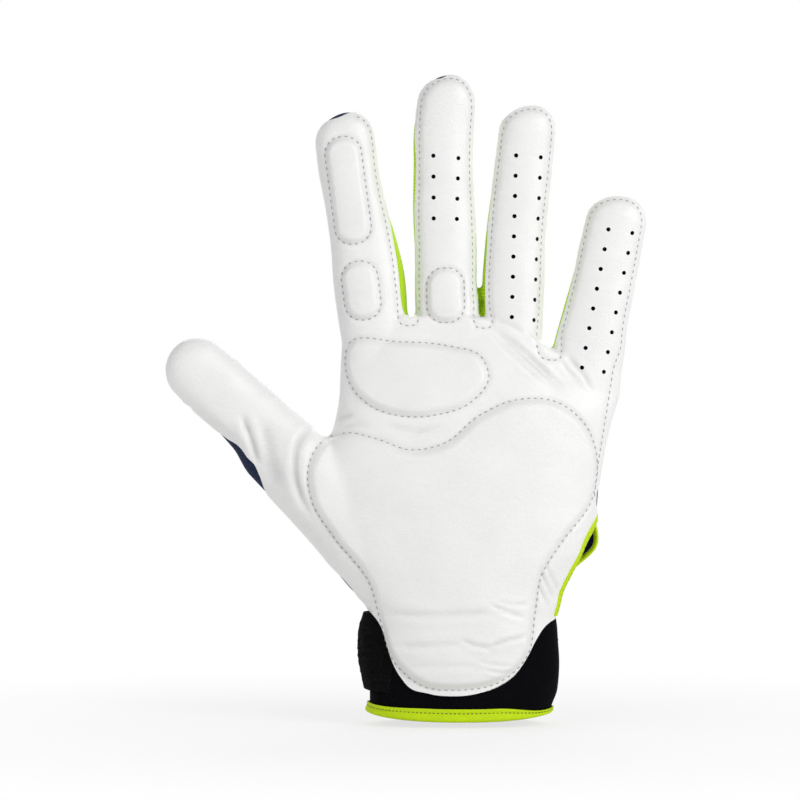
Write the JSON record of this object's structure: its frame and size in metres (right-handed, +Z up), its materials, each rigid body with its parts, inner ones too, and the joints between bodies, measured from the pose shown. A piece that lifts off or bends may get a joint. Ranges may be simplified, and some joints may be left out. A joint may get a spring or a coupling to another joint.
{
  "type": "catcher's inner glove",
  "caption": "Padded left-hand inner glove worn under a catcher's mitt, with stitched leather palm pads, knit back and a wrapped wrist strap.",
  "frame": {"origin": "centre of the wrist opening, in the plane of the hem's lower edge", "axes": "+Z up the hand towards the fingertips, palm facing -Y, thumb towards -X"},
  "size_m": [0.1814, 0.0491, 0.2457],
  "materials": {
    "white_leather": "soft white sheepskin with a fine grain, satin",
    "navy_knit": "navy stretch knit, matt",
    "lime_knit": "lime green stretch knit, matt",
    "lime_binding": "lime green binding tape with a slight sheen",
    "neoprene": "black neoprene faced with knit, matt",
    "strap_webbing": "black brushed loop fabric, fuzzy",
    "grip_tape": "black hook and loop tape",
    "pad_foam": "grey closed-cell foam sheet",
    "lining_tricot": "thin white tricot"
  },
  "bodies": {
    "hand": {"back_panel": "navy_knit", "cuff_back": "neoprene", "cuff_front": "neoprene", "hem_binding": "lime_binding", "index_middle_crotch_fourchette": "lime_knit", "knuckle_pad_foam": "pad_foam", "loop_patch": "grip_tape", "middle_ring_crotch_fourchette": "lime_knit", "palm_leather": "white_leather", "palm_lining": "lining_tricot", "palm_pad_foam": "pad_foam", "ring_little_crotch_fourchette": "lime_knit", "strap_root": "strap_webbing", "vent_binding": "lime_binding"},
    "strap": {"wrist_strap": "strap_webbing", "hook_patch": "grip_tape"},
    "thumb_lower": {"thumb_lower_back": "navy_knit", "thumb_lower_leather": "white_leather"},
    "thumb_upper": {"thumb_upper_back": "navy_knit", "thumb_upper_leather": "white_leather"},
    "index_lower": {"index_base_pad_foam": "pad_foam", "index_lower_back": "navy_knit", "index_lower_leather": "white_leather", "index_lower_outer_fourchette": "lime_knit"},
    "index_upper": {"index_tip_pad_foam": "pad_foam", "index_upper_back": "navy_knit", "index_upper_leather": "white_leather", "index_upper_outer_fourchette": "lime_knit"},
    "middle_lower": {"middle_base_pad_foam": "pad_foam", "middle_lower_back": "navy_knit", "middle_lower_inner_fourchette": "lime_knit", "middle_lower_leather": "white_leather", "middle_lower_outer_fourchette": "lime_knit"},
    "middle_upper": {"middle_upper_back": "navy_knit", "middle_upper_inner_fourchette": "lime_knit", "middle_upper_leather": "white_leather", "middle_upper_outer_fourchette": "lime_knit"},
    "ring_lower": {"ring_lower_back": "navy_knit", "ring_lower_inner_fourchette": "lime_knit", "ring_lower_leather": "white_leather", "ring_lower_outer_fourchette": "lime_knit"},
    "ring_upper": {"ring_upper_back": "navy_knit", "ring_upper_inner_fourchette": "lime_knit", "ring_upper_leather": "white_leather", "ring_upper_outer_fourchette": "lime_knit"},
    "little_lower": {"little_lower_back": "navy_knit", "little_lower_inner_fourchette": "lime_knit", "little_lower_leather": "white_leather"},
    "little_upper": {"little_upper_back": "navy_knit", "little_upper_inner_fourchette": "lime_knit", "little_upper_leather": "white_leather"}
  },
  "joints": [
    {"name": "thumb_knuckle", "type": "hinge", "parent": "hand", "child": "thumb_lower", "pos_m": [-0.0638, -0.0132, 0.0996], "axis": [0.6508, 0, 0.7593], "range_deg": [0, 50]},
    {"name": "thumb_bend", "type": "hinge", "parent": "thumb_lower", "child": "thumb_upper", "pos_m": [-0.0843, -0.01295, 0.11717], "axis": [0.6508, 0, 0.7593], "range_deg": [0, 70]},
    {"name": "index_knuckle", "type": "hinge", "parent": "hand", "child": "index_lower", "pos_m": [-0.0324, -0.011, 0.1532], "axis": [0.9912, 0, 0.1323], "range_deg": [0, 80]},
    {"name": "index_bend", "type": "hinge", "parent": "index_lower", "child": "index_upper", "pos_m": [-0.03573, -0.01133, 0.17818], "axis": [0.9912, 0, 0.1323], "range_deg": [0, 95]},
    {"name": "middle_knuckle", "type": "hinge", "parent": "hand", "child": "middle_lower", "pos_m": [-0.0036, -0.011, 0.1532], "axis": [0.9999, 0, 0.0105], "range_deg": [0, 80]},
    {"name": "middle_bend", "type": "hinge", "parent": "middle_lower", "child": "middle_upper", "pos_m": [-0.00502, -0.01146, 0.18379], "axis": [0.9999, 0, 0.0105], "range_deg": [0, 95]},
    {"name": "ring_knuckle", "type": "hinge", "parent": "hand", "child": "ring_lower", "pos_m": [0.0218, -0.0108, 0.1528], "axis": [0.9976, 0, -0.0698], "range_deg": [0, 80]},
    {"name": "ring_bend", "type": "hinge", "parent": "ring_lower", "child": "ring_upper", "pos_m": [0.02331, -0.01103, 0.18016], "axis": [0.9976, 0, -0.0698], "range_deg": [0, 95]},
    {"name": "little_knuckle", "type": "hinge", "parent": "hand", "child": "little_lower", "pos_m": [0.0476, -0.0102, 0.1399], "axis": [0.9778, 0, -0.2096], "range_deg": [0, 80]},
    {"name": "little_bend", "type": "hinge", "parent": "little_lower", "child": "little_upper", "pos_m": [0.05197, -0.01018, 0.15983], "axis": [0.9778, 0, -0.2096], "range_deg": [0, 95]},
    {"name": "strap_opening", "type": "hinge", "parent": "hand", "child": "strap", "pos_m": [-0.0377, -0.00415, 0.026], "axis": [0, 0, 1], "range_deg": [0, 110]}
  ]
}
